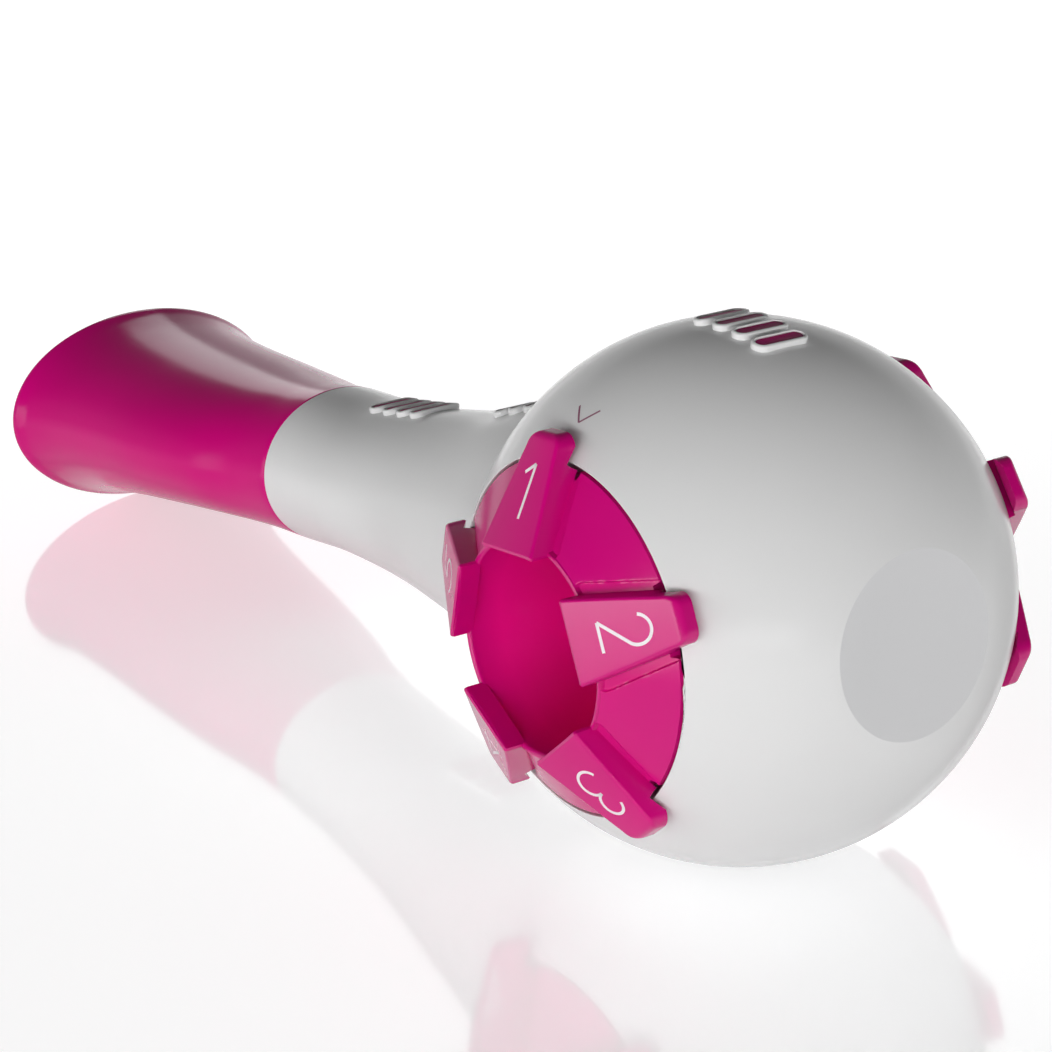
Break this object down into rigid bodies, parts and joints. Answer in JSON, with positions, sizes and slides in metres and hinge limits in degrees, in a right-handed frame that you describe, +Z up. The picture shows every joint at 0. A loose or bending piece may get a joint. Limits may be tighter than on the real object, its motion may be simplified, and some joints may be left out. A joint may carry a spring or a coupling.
{
  "type": "breathing trainer",
  "caption": "Hand-held breathing trainer: hollow ball with exhale and inhale resistance dials on its sides, slim neck and pull-off oval mouthpiece.",
  "frame": {"origin": "middle of the bounding box in plan, on the plane that the ball and the mouthpiece's lip lie on", "axes": "+X along the length towards the mouthpiece, +Y out of the exhale dial, +Z up"},
  "size_m": [0.1472, 0.0522, 0.0526],
  "materials": {
    "housing_plastic": "polished",
    "cap_plastic": "satin",
    "insert_plastic": "moulded",
    "silicone": "smooth",
    "seal_rubber": "smooth",
    "dial_plastic": "satin",
    "mouthpiece_plastic": "polished",
    "inlay_rubber": "soft satin",
    "steel": "machined"
  },
  "bodies": {
    "housing": {"housing_upper": "housing_plastic", "housing_lower": "housing_plastic", "neck": "housing_plastic", "end_cap": "cap_plastic", "exhale_cartridge": "insert_plastic", "exhale_gasket": "seal_rubber", "exhale_valve_seat": "insert_plastic", "exhale_dial_seal": "seal_rubber", "exhale_axle_screw": "steel", "exhale_spring_washer": "steel", "exhale_click_ball": "steel", "exhale_click_spring": "steel", "inhale_cartridge": "insert_plastic", "inhale_gasket": "seal_rubber", "inhale_valve_seat": "insert_plastic", "inhale_valve_cap": "insert_plastic", "inhale_dial_seal": "seal_rubber", "inhale_axle_screw": "steel", "inhale_spring_washer": "steel", "inhale_click_ball": "steel", "inhale_click_spring": "steel", "mouthpiece_seal": "seal_rubber", "ball_grip_inlays": "inlay_rubber", "neck_grip_inlays": "inlay_rubber", "shoulder_grip_inlays": "inlay_rubber", "under_grip_inlays": "inlay_rubber"},
    "exhale_dial": {"exhale_dial": "dial_plastic"},
    "inhale_dial": {"inhale_dial": "dial_plastic"},
    "exhale_valve_disc": {"exhale_valve_disc": "silicone"},
    "inhale_valve_disc": {"inhale_valve_disc": "silicone"},
    "mouthpiece": {"mouthpiece": "mouthpiece_plastic"}
  },
  "joints": [
    {"name": "exhale_dial_turn", "type": "hinge", "parent": "housing", "child": "exhale_dial", "pos_m": [-0.04823, 0, 0.026], "axis": [0, 1, 0], "continuous": true},
    {"name": "inhale_dial_turn", "type": "hinge", "parent": "housing", "child": "inhale_dial", "pos_m": [-0.04823, 0, 0.026], "axis": [0, -1, 0], "continuous": true},
    {"name": "exhale_valve_lift", "type": "slide", "parent": "housing", "child": "exhale_valve_disc", "axis": [0, 1, 0], "range_m": [0, 0.001]},
    {"name": "inhale_valve_lift", "type": "slide", "parent": "housing", "child": "inhale_valve_disc", "axis": [0, 1, 0], "range_m": [0, 0.001]},
    {"name": "mouthpiece_pull", "type": "slide", "parent": "housing", "child": "mouthpiece", "axis": [0.9929, 0, -0.1194], "range_m": [0, 0.015]}
  ]
}
